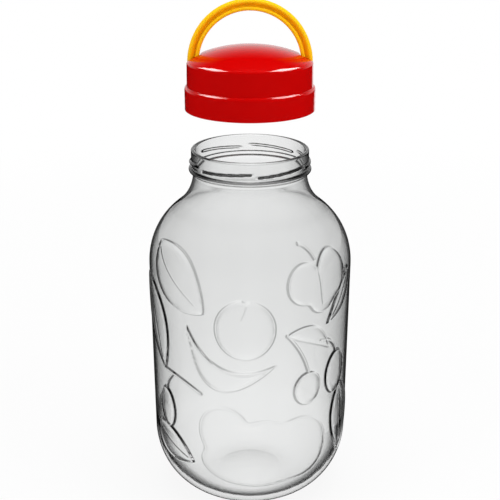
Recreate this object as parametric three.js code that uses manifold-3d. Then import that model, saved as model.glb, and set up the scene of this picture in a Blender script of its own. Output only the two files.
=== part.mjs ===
// Large glass storage jar with a screw cap that lifts off and a carrying handle that folds into the cap.
// Lengths are in millimetres and +Z is up. The origin is on the floor in the middle of the jar's foot,
// the front faces -Y. The cap stands raised above the neck, turned so that its lugs face the thread gaps.
import * as THREE from 'three';
import { mergeVertices } from 'three/addons/utils/BufferGeometryUtils.js';
import Module from 'manifold-3d';

const wasm = await Module();
wasm.setup();

// Glass body
const rimHeight = 300.5;
const bodyRadius = 85;
const bodyTaper = 1; // the wall is this much smaller in radius just above the heel
const glassWall = 3.2;
const baseThickness = 6;
const footInnerRadius = 30;
const footOuterRadius = 37;
const pushUp = 3.5; // rise of the underside inside the foot ring
const heelRise = 55.5;
const shoulderDrop = 95.5; // from the rim down to the start of the shoulder
const shoulderRadius = 61.2;

// Glass neck
const finishRadius = 47.4; // plain neck between the thread runs
const finishWall = 3.4;
const neckRelief = 1.4; // the neck under the ring is this much smaller in radius
const lipRound = 1.7;
const ringProud = 2.1;
const ringHalfHeight = 2;
const ringBelowThread = 4.9; // from a thread run's low end down to the middle of the ring
const boreBlend = 6; // height over which the bore widens to the finish

// Thread runs
const threadRuns = 6;
const threadGap = 7.5 * Math.PI / 180;
const threadProud = 1.6;
const threadHalfHeight = 1.1;
const threadLowDrop = 11.6; // from the rim down to a run's low end
const threadRise = 2.4;
const threadFadeShare = 0.12; // share of a run in which it grows out of the neck
const firstGapTurn = -85.25 * Math.PI / 180; // the gap seen at the front lies just right of the middle

// Cap
const seatGap = 0.3; // left between pieces that touch
const skirtClearance = 0.35; // skirt to neck ring, and crown to rim, in radius
const skirtWall = 1.65;
const skirtAboveRing = 0.5; // closed skirt's edge above the middle of the neck ring
const stepAboveSeal = 1.9; // outer step above the liner's sealing face
const stepRound = 1.4;
const crownWall = 1.65;
const crownDraft = 0.3;
const crownAboveSeal = 21.2; // shoulder edge of the dome above the liner's sealing face
const crownEdgeRound = 2;
const domeRise = 12;
const domeSpread = 2.6; // the dome is the top of an ellipse this much wider than the crown
const lidRaise = 48;
const linerThickness = 1.8;
const linerRibInset = 1.1; // from the crown's inner wall to the rib that backs the liner
const linerRibWall = 1.6;
const gussets = 12;
const gussetWall = 1.4;
const gussetHeight = 5;

// Lugs inside the skirt
const lugTurn = 4.5 * Math.PI / 180;
const lugClearance = 0.8; // lug to plain neck
const lugUnderThread = 0.4;
const lockTurn = 36 * Math.PI / 180;

// Handle
const handleInset = 0.6; // from the crown's edge to the outside of the arch
const handleBand = 9.1;
const handleThickness = 6.4;
const handleBead = 3; // inner edge to the groove
const handleOuterBand = 1.9; // outer edge to the groove
const grooveDepth = 1.9;
const grooveDraft = 0.3; // lean of the groove's side at the bead
const grooveFloor = 0.8;
const pivotBelowEdge = 1.3; // pins below the dome's shoulder edge
const pinRadius = 1.8;
const pinClearance = 0.3;
const pinReach = 0.9; // pin end past the turret's inner face
const turretClearance = 1.1;
const turretWall = 1.8;
const recessWall = 1.8;
const handleClearance = 0.4; // handle to the recess's front wall

// Facets
const roundSteps = 60;
const facetLength = 11; // along a curve in a spun profile
const fewestFacets = 3;
const runSteps = 10;
const sectionSteps = 3;
const lugFacets = 1;
const pinFacets = 16;
const overrun = 2; // cutting solids run past the surface by this

// Worked out from the sizes above
const fullTurn = Math.PI * 2;
const lowerBodyRadius = bodyRadius - bodyTaper;
const shoulderHeight = rimHeight - shoulderDrop;
const neckRadius = finishRadius - neckRelief;
const threadLowHeight = rimHeight - threadLowDrop;
const ringHeight = threadLowHeight - ringBelowThread;
const ringRadius = finishRadius + ringProud;
const threadTurn = fullTurn / threadRuns - threadGap;
const skirtInnerRadius = ringRadius + skirtClearance;
const skirtOuterRadius = skirtInnerRadius + skirtWall;
const closedSkirtHeight = ringHeight + skirtAboveRing;
const sealHeight = rimHeight + seatGap - closedSkirtHeight; // liner's sealing face above the skirt's edge
const stepHeight = sealHeight + stepAboveSeal;
const ledgeHeight = stepHeight - skirtWall;
const crownHeight = sealHeight + crownAboveSeal;
const crownInnerRadius = finishRadius + skirtClearance;
const crownRadius = crownInnerRadius + crownWall;
const domeReach = crownRadius + domeSpread;
const domeHalfHeight = domeRise / (1 - Math.sqrt(1 - (crownRadius / domeReach) ** 2));
const domeCentre = crownHeight + domeRise - domeHalfHeight;
const handleOuterRadius = crownRadius - handleInset;
const handleInnerRadius = handleOuterRadius - handleBand;
const pivotHeight = crownHeight - pivotBelowEdge;
const turretRadius = handleInnerRadius - turretClearance;
const recessFloor = pivotHeight - handleThickness / 2 - seatGap;
const recessFront = -handleThickness / 2 - handleClearance;

// Turns a closed triangle mesh into a solid for joining and cutting
function solidFrom(geometry) {
  const bare = geometry.index ? geometry : mergeVertices(geometry);
  bare.deleteAttribute('normal');
  bare.deleteAttribute('uv');
  const welded = mergeVertices(bare);
  const index = welded.index.array;
  const triangles = [];
  for (let i = 0; i < index.length; i += 3) {
    const [a, b, c] = index.slice(i, i + 3);
    if (a !== b && b !== c && c !== a) triangles.push(a, b, c);
  }
  const vertProperties = new Float32Array(welded.attributes.position.array);
  const triVerts = new Uint32Array(triangles);
  return new wasm.Manifold(new wasm.Mesh({ numProp: 3, vertProperties, triVerts }));
}

// Spins a profile of (radius, height) about the Y axis; it is drawn upwards along the outside
function spin(profile) {
  const points = [profile.curves[0].getPoint(0)];
  for (const curve of profile.curves) {
    const facets = Math.max(fewestFacets, Math.round(curve.getLength() / facetLength));
    points.push(...curve.getPoints(curve.isLineCurve ? 1 : facets).slice(1));
  }
  return new THREE.LatheGeometry(points, roundSteps);
}

// The same about the Z axis, as a solid
function revolve(profile) {
  return solidFrom(spin(profile).rotateX(Math.PI / 2));
}

// Raises a flat outline in X and Y from one height to another; steps is half the facets of each arc in it
function raise(outline, low, high, steps = roundSteps / 2) {
  const options = { depth: high - low, bevelEnabled: false, curveSegments: steps };
  return solidFrom(new THREE.ExtrudeGeometry(outline, options).translate(0, 0, low));
}

// Sector of a ring between two radii, centred on an angle
function ringSector(inner, outer, middle, turn) {
  const outline = new THREE.Shape();
  outline.absarc(0, 0, outer, middle - turn / 2, middle + turn / 2, false);
  outline.absarc(0, 0, inner, middle + turn / 2, middle - turn / 2, true);
  return outline;
}

function rectangle(left, front, right, back) {
  const corners = [[left, front], [right, front], [right, back], [left, back]];
  return new THREE.Shape(corners.map(([x, y]) => new THREE.Vector2(x, y)));
}

function disc(radius) {
  return new THREE.Shape().absarc(0, 0, radius, 0, fullTurn, false);
}

function meshOf(name, solid, material) {
  const { vertProperties, triVerts } = solid.getMesh();
  const geometry = new THREE.BufferGeometry();
  geometry.setAttribute('position', new THREE.BufferAttribute(vertProperties, 3));
  geometry.setIndex(new THREE.BufferAttribute(triVerts, 1));
  const mesh = new THREE.Mesh(geometry, material);
  mesh.name = name;
  return mesh;
}

// The shoulder is an outward arc that meets a hollow arc, which runs straight up into the neck.
// inset moves the whole curve into the glass, for the inner wall.
function shoulderArcs(inset) {
  const neckBase = ringHeight - ringHalfHeight;
  const across = neckRadius - bodyRadius + shoulderRadius;
  const up = neckBase - shoulderHeight;
  const hollowRadius = (across ** 2 + up ** 2 - shoulderRadius ** 2) / (2 * (shoulderRadius - across));
  const turn = Math.atan2(up, across + hollowRadius);
  return {
    turn,
    round: { x: bodyRadius - shoulderRadius, y: shoulderHeight, radius: shoulderRadius - inset },
    hollow: { x: neckRadius + hollowRadius, y: neckBase, radius: hollowRadius + inset },
  };
}

function jarOutside() {
  const { turn, round, hollow } = shoulderArcs(0);
  const footReach = lowerBodyRadius - footOuterRadius;
  const lipTop = finishRadius - lipRound;
  const profile = new THREE.Path();
  profile.moveTo(0, pushUp);
  profile.quadraticCurveTo(footInnerRadius, pushUp, footInnerRadius, 0);
  profile.lineTo(footOuterRadius, 0);
  profile.absellipse(footOuterRadius, heelRise, footReach, heelRise, -Math.PI / 2, 0, false);
  profile.lineTo(bodyRadius, shoulderHeight);
  profile.absarc(round.x, round.y, round.radius, 0, turn, false);
  profile.absarc(hollow.x, hollow.y, hollow.radius, Math.PI + turn, Math.PI, true);
  profile.absellipse(finishRadius, ringHeight, ringProud, ringHalfHeight, -Math.PI / 2, Math.PI / 2, false);
  profile.lineTo(finishRadius, rimHeight - lipRound);
  profile.absarc(lipTop, rimHeight - lipRound, lipRound, 0, Math.PI / 2, false);
  profile.lineTo(0, rimHeight);
  return revolve(profile);
}

function jarInside() {
  const { turn, round, hollow } = shoulderArcs(glassWall);
  const wallReach = lowerBodyRadius - glassWall - footOuterRadius;
  const boreRadius = finishRadius - finishWall;
  const boreTop = threadLowHeight - threadHalfHeight;
  const profile = new THREE.Path();
  profile.moveTo(0, pushUp + baseThickness);
  profile.quadraticCurveTo(footInnerRadius, baseThickness + pushUp, footOuterRadius, baseThickness);
  profile.absellipse(footOuterRadius, heelRise, wallReach, heelRise - baseThickness, -Math.PI / 2, 0, false);
  profile.lineTo(bodyRadius - glassWall, shoulderHeight);
  profile.absarc(round.x, round.y, round.radius, 0, turn, false);
  profile.absarc(hollow.x, hollow.y, hollow.radius, Math.PI + turn, Math.PI, true);
  profile.lineTo(neckRadius - glassWall, boreTop - boreBlend / 2);
  profile.lineTo(boreRadius, boreTop + boreBlend / 2);
  profile.lineTo(boreRadius, rimHeight - lipRound);
  profile.absarc(boreRadius + lipRound, rimHeight - lipRound, lipRound, Math.PI, Math.PI / 2, true);
  profile.lineTo(boreRadius + lipRound, rimHeight + overrun);
  profile.lineTo(0, rimHeight + overrun);
  return revolve(profile);
}

// One right-handed thread run: a rounded rib that climbs as its angle grows and fades into the neck at both ends
function threadRun(startAngle) {
  const positions = [];
  const index = [];
  const ringCount = sectionSteps + 3;
  for (let step = 0; step <= runSteps; step++) {
    const share = step / runSteps;
    const fade = Math.min(1, share / threadFadeShare, (1 - share) / threadFadeShare);
    const proud = threadProud * Math.sqrt(fade * (2 - fade));
    const height = threadLowHeight + threadRise * share;
    const angle = startAngle + threadTurn * share;
    const section = [[finishRadius - lipRound, -threadHalfHeight]];
    for (let k = 0; k <= sectionSteps; k++) {
      const lean = Math.PI * (k / sectionSteps - 1 / 2);
      section.push([finishRadius + proud * Math.cos(lean), threadHalfHeight * Math.sin(lean)]);
    }
    section.push([finishRadius - lipRound, threadHalfHeight]);
    for (const [radius, up] of section) {
      positions.push(radius * Math.cos(angle), radius * Math.sin(angle), height + up);
    }
  }
  const at = (step, k) => step * ringCount + k % ringCount;
  for (let step = 0; step < runSteps; step++) {
    for (let k = 0; k < ringCount; k++) {
      index.push(at(step, k), at(step + 1, k), at(step + 1, k + 1));
      index.push(at(step, k), at(step + 1, k + 1), at(step, k + 1));
    }
  }
  for (let k = 1; k < ringCount - 1; k++) {
    index.push(at(0, 0), at(0, k), at(0, k + 1));
    index.push(at(runSteps, 0), at(runSteps, k + 1), at(runSteps, k));
  }
  const geometry = new THREE.BufferGeometry();
  geometry.setAttribute('position', new THREE.Float32BufferAttribute(positions, 3));
  geometry.setIndex(index);
  return solidFrom(geometry);
}

function makeJar() {
  let glass = jarOutside();
  for (let run = 0; run < threadRuns; run++) {
    const gapMiddle = firstGapTurn + fullTurn * run / threadRuns;
    glass = glass.add(threadRun(gapMiddle + threadGap / 2));
  }
  return glass.subtract(jarInside());
}

// Everything on the lid is drawn from the skirt's lower edge, at height zero
function capOutside() {
  const crownFoot = crownRadius + crownDraft;
  const roundReach = crownRadius - crownEdgeRound;
  const roundTurn = Math.acos(roundReach / domeReach);
  const domeEdge = domeCentre + domeHalfHeight * Math.sin(roundTurn);
  const profile = new THREE.Path();
  profile.moveTo(0, 0);
  profile.lineTo(skirtOuterRadius, 0);
  profile.lineTo(skirtOuterRadius, stepHeight - stepRound);
  profile.quadraticCurveTo(skirtOuterRadius, stepHeight, skirtOuterRadius - stepRound, stepHeight);
  profile.lineTo(crownFoot, stepHeight);
  profile.lineTo(crownRadius, crownHeight - crownEdgeRound);
  profile.quadraticCurveTo(crownRadius, crownHeight, roundReach, domeEdge);
  profile.absellipse(0, domeCentre, domeReach, domeHalfHeight, roundTurn, Math.PI / 2, false);
  return revolve(profile);
}

function capInside() {
  const ceilingReach = domeReach - crownWall;
  const ceilingTurn = Math.acos(crownInnerRadius / ceilingReach);
  const profile = new THREE.Path();
  profile.moveTo(0, -overrun);
  profile.lineTo(skirtInnerRadius, -overrun);
  profile.lineTo(skirtInnerRadius, ledgeHeight);
  profile.lineTo(crownInnerRadius, ledgeHeight);
  profile.absellipse(0, domeCentre, ceilingReach, domeHalfHeight - crownWall, ceilingTurn, Math.PI / 2, false);
  return revolve(profile);
}

// Half-round trough behind a front plane, round a turret; it is open upwards and outwards
function trough(innerRadius, floor, front) {
  const beyond = crownRadius + overrun;
  const top = crownHeight + domeRise + overrun;
  const block = raise(rectangle(-beyond, front, beyond, beyond), floor, top);
  return block.subtract(raise(disc(innerRadius), floor - overrun, top + overrun));
}

// Rib ring that backs the liner, tied to the crown's wall by short gussets
function linerRib() {
  const outer = crownInnerRadius - linerRibInset;
  const foot = sealHeight + linerThickness + seatGap;
  const top = crownHeight + domeRise;
  let rib = raise(disc(outer), foot, top);
  for (let k = 0; k < gussets; k++) {
    const turn = fullTurn * k / gussets;
    const reach = crownInnerRadius + crownWall / 2;
    const web = rectangle(outer - linerRibWall / 2, -gussetWall / 2, reach, gussetWall / 2);
    const block = new THREE.ExtrudeGeometry(web, { depth: gussetHeight, bevelEnabled: false });
    rib = rib.add(solidFrom(block.translate(0, 0, foot).rotateZ(turn)));
  }
  return rib.subtract(raise(disc(outer - linerRibWall), foot - overrun, top + overrun));
}

// Lugs that drop through the gaps between the thread runs and lock under them
function lugs() {
  const inner = finishRadius + lugClearance;
  const farShare = (lockTurn + lugTurn / 2 - threadGap / 2) / threadTurn;
  const threadUnderside = threadLowHeight + threadRise * (1 - farShare) - threadHalfHeight;
  const top = threadUnderside - lugUnderThread - closedSkirtHeight;
  const bottom = ringHeight + ringHalfHeight + seatGap / 2 - closedSkirtHeight;
  const parts = [];
  for (let k = 0; k < threadRuns; k++) {
    const middle = firstGapTurn + fullTurn * k / threadRuns;
    const outline = ringSector(inner, skirtInnerRadius + skirtWall / 2, middle, lugTurn);
    parts.push(raise(outline, bottom, top, lugFacets));
  }
  return parts;
}

// Round bar along X through both sides of the turret
function crossBar(radius, from, to) {
  const bar = new THREE.CylinderGeometry(radius, radius, to - from, pinFacets);
  bar.rotateZ(-Math.PI / 2).translate((from + to) / 2, 0, pivotHeight);
  return solidFrom(bar);
}

function makeCap() {
  const recess = trough(turretRadius, recessFloor, recessFront);
  const recessBacking = trough(turretRadius - turretWall, recessFloor - recessWall, recessFront - recessWall);
  const hollow = capInside().subtract(recessBacking).subtract(linerRib());
  let shell = capOutside().subtract(recess).subtract(hollow);
  for (const lug of lugs()) shell = shell.add(lug);
  const holeRadius = pinRadius + pinClearance;
  const holeFrom = turretRadius - turretWall - overrun;
  return shell
    .subtract(crossBar(holeRadius, holeFrom, turretRadius + overrun))
    .subtract(crossBar(holeRadius, -turretRadius - overrun, -holeFrom));
}

function makeLiner() {
  return raise(disc(crownInnerRadius - seatGap), sealHeight, sealHeight + linerThickness);
}

// The arch is drawn in X and Z with the pins' axis at the middle of the half circle
function makeHandle() {
  const half = handleThickness / 2;
  const arch = new THREE.Shape();
  arch.moveTo(handleOuterRadius, -half);
  arch.lineTo(handleOuterRadius, 0);
  arch.absarc(0, 0, handleOuterRadius, 0, Math.PI, false);
  arch.lineTo(-handleOuterRadius, -half);
  arch.lineTo(-handleInnerRadius, -half);
  arch.lineTo(-handleInnerRadius, 0);
  arch.absarc(0, 0, handleInnerRadius, Math.PI, 0, true);
  arch.lineTo(handleInnerRadius, -half);

  const side = new THREE.Shape();
  side.moveTo(half, 0);
  side.lineTo(half, handleOuterRadius + overrun);
  side.lineTo(-half, handleOuterRadius + overrun);
  side.lineTo(-half, 0);
  side.absarc(0, 0, half, Math.PI, fullTurn, false);

  const upright = (outline, depth, steps) => new THREE.ExtrudeGeometry(
    outline,
    { depth, bevelEnabled: false, curveSegments: steps },
  ).translate(0, 0, -depth / 2).rotateX(Math.PI / 2);

  const width = 2 * (handleOuterRadius + overrun);
  let body = solidFrom(upright(arch, handleThickness, roundSteps / 4));
  body = body.intersect(solidFrom(upright(side, width, roundSteps / 10).rotateZ(Math.PI / 2)));

  // Steep beside the inner bead, and sloping up to the outer band
  const beadEdge = handleInnerRadius + handleBead;
  const bandEdge = handleOuterRadius - handleOuterBand;
  const slopeFoot = beadEdge + grooveDraft + grooveFloor;
  const past = overrun / grooveDepth;
  const groove = new THREE.Path();
  groove.moveTo(slopeFoot, half - grooveDepth);
  groove.lineTo(bandEdge + (bandEdge - slopeFoot) * past, half + overrun);
  groove.lineTo(beadEdge - grooveDraft * past, half + overrun);
  groove.lineTo(beadEdge + grooveDraft, half - grooveDepth);
  groove.closePath();
  for (const turn of [0, Math.PI]) body = body.subtract(solidFrom(spin(groove).rotateX(turn)));

  const pinEnd = turretRadius - turretWall - pinReach;
  const pinRoot = handleInnerRadius + handleBead / 2;
  for (const [from, to] of [[pinEnd, pinRoot], [-pinRoot, -pinEnd]]) {
    const pin = new THREE.CylinderGeometry(pinRadius, pinRadius, to - from, pinFacets);
    pin.rotateZ(-Math.PI / 2).translate((from + to) / 2, 0, 0);
    body = body.add(solidFrom(pin));
  }
  return body;
}

const glass = new THREE.MeshStandardMaterial({
  color: 0xdfe4e3,
  roughness: 0.04,
  metalness: 0,
  transparent: true,
  opacity: 0.35,
});
const redPlastic = new THREE.MeshStandardMaterial({ color: 0xd40a08, roughness: 0.18, metalness: 0 });
const yellowPlastic = new THREE.MeshStandardMaterial({ color: 0xfcbf12, roughness: 0.25, metalness: 0 });
const linerPlastic = new THREE.MeshStandardMaterial({ color: 0xf1f0ea, roughness: 0.5, metalness: 0 });

const jar = new THREE.Group();
jar.add(meshOf('glass_jar', makeJar(), glass));

const lid = new THREE.Group();
lid.position.z = closedSkirtHeight + lidRaise;
lid.add(meshOf('cap_shell', makeCap(), redPlastic));
lid.add(meshOf('seal_liner', makeLiner(), linerPlastic));

const swing = new THREE.Group();
swing.position.z = pivotHeight;
swing.add(meshOf('handle', makeHandle(), yellowPlastic));
lid.add(swing);
jar.add(lid);

export default jar;
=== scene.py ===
# Glass storage jar with a lift-off screw cap and a folding carrying handle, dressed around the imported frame.
# Meshes are drawn in millimetres and turned into metres when they are finished. The front faces -Y.
import math

import bmesh
import bpy
import numpy as np
from mathutils import Matrix, Vector


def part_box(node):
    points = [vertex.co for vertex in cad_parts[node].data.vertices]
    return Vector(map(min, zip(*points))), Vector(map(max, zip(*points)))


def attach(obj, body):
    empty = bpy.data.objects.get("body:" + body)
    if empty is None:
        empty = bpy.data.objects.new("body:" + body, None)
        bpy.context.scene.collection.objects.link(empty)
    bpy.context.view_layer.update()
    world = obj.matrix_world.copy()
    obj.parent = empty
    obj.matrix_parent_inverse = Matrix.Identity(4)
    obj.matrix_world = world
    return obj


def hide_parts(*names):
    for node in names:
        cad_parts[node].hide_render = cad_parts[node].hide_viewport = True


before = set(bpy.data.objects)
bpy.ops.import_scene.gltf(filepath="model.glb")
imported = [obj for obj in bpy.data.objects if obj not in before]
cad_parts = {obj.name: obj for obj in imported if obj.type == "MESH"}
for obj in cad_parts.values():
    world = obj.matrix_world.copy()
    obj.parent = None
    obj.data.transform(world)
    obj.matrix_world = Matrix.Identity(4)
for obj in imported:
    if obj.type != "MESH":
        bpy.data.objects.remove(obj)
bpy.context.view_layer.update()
millimetre = 0.001
fullTurn = 2 * math.pi
studio = bpy.context.scene
# In millimetres: how near points count as one, how far a join is welded, and a small bevel
samePoint = 1e-4
joinGap = 0.02
smallBevel = 0.3
# How sharply two faces meet where an edge is bevelled, and where the shading stays crisp
bevelFrom = math.radians(35)
crispFrom = math.radians(50)


# Drawing helpers

def arc(middle, radii, start, end, count):
    points = []
    for k in range(count + 1):
        turn = start + (end - start) * k / count
        points.append((middle[0] + radii[0] * math.cos(turn), middle[1] + radii[1] * math.sin(turn)))
    return points


def weighed(weights, points):
    return tuple(sum(w * p[i] for w, p in zip(weights, points)) for i in (0, 1))


def rounded(corner, before, after, count):
    # A corner eased by a curve from the point before it to the point after it
    points = []
    for k in range(count + 1):
        t = k / count
        points.append(weighed(((1 - t) ** 2, 2 * t * (1 - t), t * t), (before, corner, after)))
    return points


def straight(start, end, spacing):
    count = max(1, round(math.dist(start, end) / spacing))
    return [tuple(a + (b - a) * k / count for a, b in zip(start, end)) for k in range(count + 1)]


def spun(outline, steps):
    # Spins an outline of (radius, height) once round the Z axis
    bm = bmesh.new()
    ring = []
    for radius, height in outline:
        if not ring or (ring[-1].co - Vector((radius, 0, height))).length > samePoint:
            ring.append(bm.verts.new((radius, 0, height)))
    edges = [bm.edges.new(pair) for pair in zip(ring, ring[1:]) if pair[0].co.x + pair[1].co.x > 0]
    bmesh.ops.spin(
        bm, geom=ring + edges, cent=(0, 0, 0), axis=(0, 0, 1), dvec=(0, 0, 0),
        angle=fullTurn, steps=steps, use_merge=True, use_duplicate=False,
    )
    bmesh.ops.remove_doubles(bm, verts=bm.verts[:], dist=samePoint)
    bmesh.ops.recalc_face_normals(bm, faces=bm.faces[:])
    return bm


def finished(bm, name, material=None, smooth=True):
    # Turns a mesh drawn in millimetres into an object in metres
    bmesh.ops.scale(bm, vec=(millimetre,) * 3, verts=bm.verts[:])
    mesh = bpy.data.meshes.new(name)
    bm.to_mesh(mesh)
    bm.free()
    mesh.shade_smooth() if smooth else mesh.shade_flat()
    piece = bpy.data.objects.new(name, mesh)
    studio.collection.objects.link(piece)
    if material:
        mesh.materials.append(material)
    return piece


def applied(piece):
    # Makes the modifiers' result the piece's own mesh
    graph = bpy.context.evaluated_depsgraph_get()
    mesh = bpy.data.meshes.new_from_object(piece.evaluated_get(graph), depsgraph=graph)
    piece.modifiers.clear()
    piece.data = mesh
    return piece


def welded(piece, gap):
    # Closes the hairline steps that a join or a cut leaves
    bm = bmesh.new()
    bm.from_mesh(piece.data)
    bmesh.ops.remove_doubles(bm, verts=bm.verts[:], dist=gap * millimetre)
    bmesh.ops.dissolve_degenerate(bm, edges=bm.edges[:], dist=gap * millimetre / 2)
    bm.to_mesh(piece.data)
    bm.free()
    return piece


def combined(piece, other, operation, gap=joinGap):
    change = piece.modifiers.new(operation.title(), "BOOLEAN")
    change.operation = operation
    change.solver = "EXACT"
    change.object = other
    applied(piece)
    bpy.data.objects.remove(other)
    return welded(piece, gap)


def softened(piece, width, segments):
    bevel = piece.modifiers.new("Soft edges", "BEVEL")
    bevel.width = width * millimetre
    bevel.segments = segments
    bevel.limit_method = "ANGLE"
    bevel.angle_limit = bevelFrom
    bevel.miter_outer = "MITER_ARC"
    return applied(piece)


# Shared shader groups

def groupOf(name, inputs, outputs):
    tree = bpy.data.node_groups.new(name, "ShaderNodeTree")
    for label, kind, value in inputs:
        socket = tree.interface.new_socket(name=label, in_out="INPUT", socket_type=kind)
        socket.default_value = value
    for label, kind in outputs:
        tree.interface.new_socket(name=label, in_out="OUTPUT", socket_type=kind)
    return tree, tree.nodes.new("NodeGroupInput"), tree.nodes.new("NodeGroupOutput")


def node(tree, kind, links=(), **values):
    # Adds a node; links are pairs of an input and a socket or plain value, and values set its properties
    made = tree.nodes.new(kind)
    for key, value in values.items():
        setattr(made, key, value)
    for socket, source in links:
        if isinstance(source, bpy.types.NodeSocket):
            tree.links.new(source, made.inputs[socket])
        else:
            made.inputs[socket].default_value = source
    return made


def maths(tree, operation, *values, clamp=False):
    return node(tree, "ShaderNodeMath", enumerate(values), operation=operation, use_clamp=clamp).outputs[0]


def product(tree, *factors):
    total = factors[0]
    for factor in factors[1:]:
        total = maths(tree, "MULTIPLY", total, factor)
    return total


def vectorMaths(tree, operation, *values):
    return node(tree, "ShaderNodeVectorMath", enumerate(values), operation=operation).outputs


def ranged(tree, value, start, end, low=0.0, high=1.0, kind="LINEAR"):
    # Carries a value from one range to another, held at both ends
    links = [("Value", value), ("From Min", start), ("From Max", end), ("To Min", low), ("To Max", high)]
    return node(tree, "ShaderNodeMapRange", links, interpolation_type=kind).outputs[0]


def between(tree, share, low, high):
    return node(tree, "ShaderNodeMix", [("Factor", share), ("A", low), ("B", high)]).outputs[0]


def toned(tree, share, low, high):
    # The same for colours
    return node(tree, "ShaderNodeMix", [("Factor", share), (6, low), (7, high)], data_type="RGBA").outputs[2]


def noise(tree, place, scale, detail=2.0):
    links = [("Vector", place), ("Scale", scale), ("Detail", detail)]
    return node(tree, "ShaderNodeTexNoise", links).outputs["Fac"]


def rampOf(tree, value, stops):
    # A colour ramp from (position, colour) stops
    ramp = node(tree, "ShaderNodeValToRGB", [("Fac", value)])
    elements = ramp.color_ramp.elements
    for k, (position, colour) in enumerate(stops):
        stop = elements[k] if k < 2 else elements.new(position)
        stop.position = position
        stop.color = (*colour, 1)
    return ramp.outputs["Color"]


def rayIs(tree, label):
    return node(tree, "ShaderNodeLightPath").outputs[label]


def objectPlace(tree):
    return node(tree, "ShaderNodeTexCoord").outputs["Object"]


def apart(tree, vector):
    return node(tree, "ShaderNodeSeparateXYZ", [(0, vector)]).outputs


def mouldedSkin():
    # Fine unevenness of a glossy moulded part: slow sink waves, a faint grain, and cloudy gloss
    number, colour = "NodeSocketFloat", "NodeSocketColor"
    tree, start, end = groupOf(
        "Moulded skin",
        [("Colour", colour, (1, 1, 1, 1)), ("Shade", number, 0.05), ("Gloss", number, 0.15),
         ("Cloud", number, 0.05), ("Waves", number, 0.5), ("Grain", number, 0.1)],
        [("Colour", colour), ("Roughness", number), ("Height", number)],
    )
    given = start.outputs
    place = objectPlace(tree)
    waves = noise(tree, place, scale=55.0)
    clouds = noise(tree, place, scale=38.0, detail=5.0)
    grain = noise(tree, place, scale=1900.0)
    centred = maths(tree, "SUBTRACT", clouds, 0.5)
    shade = maths(tree, "MULTIPLY_ADD", centred, given["Shade"], 1.0)
    tinted = node(tree, "ShaderNodeVectorMath", [(0, given["Colour"]), ("Scale", shade)], operation="SCALE")
    slow = product(tree, waves, given["Waves"])
    tree.links.new(tinted.outputs[0], end.inputs["Colour"])
    rough = maths(tree, "MULTIPLY_ADD", centred, given["Cloud"], given["Gloss"])
    height = maths(tree, "MULTIPLY_ADD", grain, given["Grain"], slow)
    tree.links.new(rough, end.inputs["Roughness"])
    tree.links.new(height, end.inputs["Height"])
    return tree


def surface(name):
    material = bpy.data.materials.new(name)
    material.use_nodes = True
    tree = material.node_tree
    return material, tree, tree.nodes["Principled BSDF"]


def paintedShadeAndHiddenReflection(tree, look):
    # Painted shade: the handle's groove is tinted a deeper orange, where shade and interreflection fall.
    # Painted reflection: for glossy rays the handle is painted black above the legs, so its reflection in the
    # cap is hidden.
    centre = vectorMaths(tree, "ADD", objectPlace(tree), (0, 0, -(lidFloor + pivotHeight) * millimetre))[0]
    flat = vectorMaths(tree, "MULTIPLY", centre, (1, 0, 1))[0]
    radius = vectorMaths(tree, "LENGTH", flat)["Value"]
    masks = []
    for edges in (look["grooveStart"], look["grooveEnd"][::-1]):
        start, end = [(gripInner + edge) * millimetre for edge in edges]
        masks.append(ranged(tree, radius, start, end, kind="SMOOTHSTEP"))
    within = product(tree, *masks)
    # Painted shade: deeper orange across the groove
    tone = toned(tree, within, (*look["colour"], 1), (*look["grooveShadeColour"], 1))
    # Painted reflection: above the legs the handle is black to glossy rays, which hides its reflection in the
    # cap
    above = ranged(tree, apart(tree, centre)["Z"], look["fadeFrom"], look["fadeTo"])
    return toned(tree, product(tree, above, rayIs(tree, "Is Glossy Ray")), tone, (0, 0, 0, 1))


def mouldedPlastic(name, skin, look):
    material, tree, shader = surface(name)
    group = node(tree, "ShaderNodeGroup", node_tree=skin)
    group.inputs["Colour"].default_value = (*look["colour"], 1)
    # Painted groove shade, and painted black for glossy rays, where the look has them
    if "grooveShadeColour" in look:
        tree.links.new(paintedShadeAndHiddenReflection(tree, look), group.inputs["Colour"])
    for label in ("Shade", "Gloss", "Cloud", "Waves", "Grain"):
        group.inputs[label].default_value = look[label.lower()]
    bump = node(tree, "ShaderNodeBump", [("Height", group.outputs["Height"]), ("Strength", look["bump"]),
                                         ("Distance", look["bumpDepth"] * millimetre)])
    tree.links.new(group.outputs["Colour"], shader.inputs["Base Color"])
    tree.links.new(group.outputs["Roughness"], shader.inputs["Roughness"])
    tree.links.new(bump.outputs["Normal"], shader.inputs["Normal"])
    shader.inputs["IOR"].default_value = look["ior"]
    return material


# Glass body

jar = dict(
    rimHeight=300.5, bodyRadius=85.0, bodyTaper=1.0, wall=2.6, base=3.5,
    footInner=30.0, footOuter=37.0, footEase=1.0, pushUp=3.5, heelRise=55.5,
    shoulderDrop=95.5, shoulderRadius=61.2,
    finishRadius=47.4, finishWall=3.4, neckRelief=1.4, lipRound=1.7, blendAbove=3.0, blendBelow=9.0,
    ringProud=2.1, ringHalfHeight=2.0, ringBelowThread=4.9,
    threadRuns=6, threadGap=math.radians(7.5), threadProud=1.6, threadHalfHeight=1.1,
    threadLowDrop=11.6, threadRise=2.4, threadFade=0.12, firstGap=math.radians(-85.25), reliefDepth=1.3,
    spinSteps=160, rowSpacing=3.3, innerSpacing=6.5, plainSpacing=40.0, neckSpacing=0.5,
    floorSteps=16, heelSteps=30, innerHeelSteps=18, ringSteps=12, lipSteps=8, blendSteps=10,
)

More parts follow.
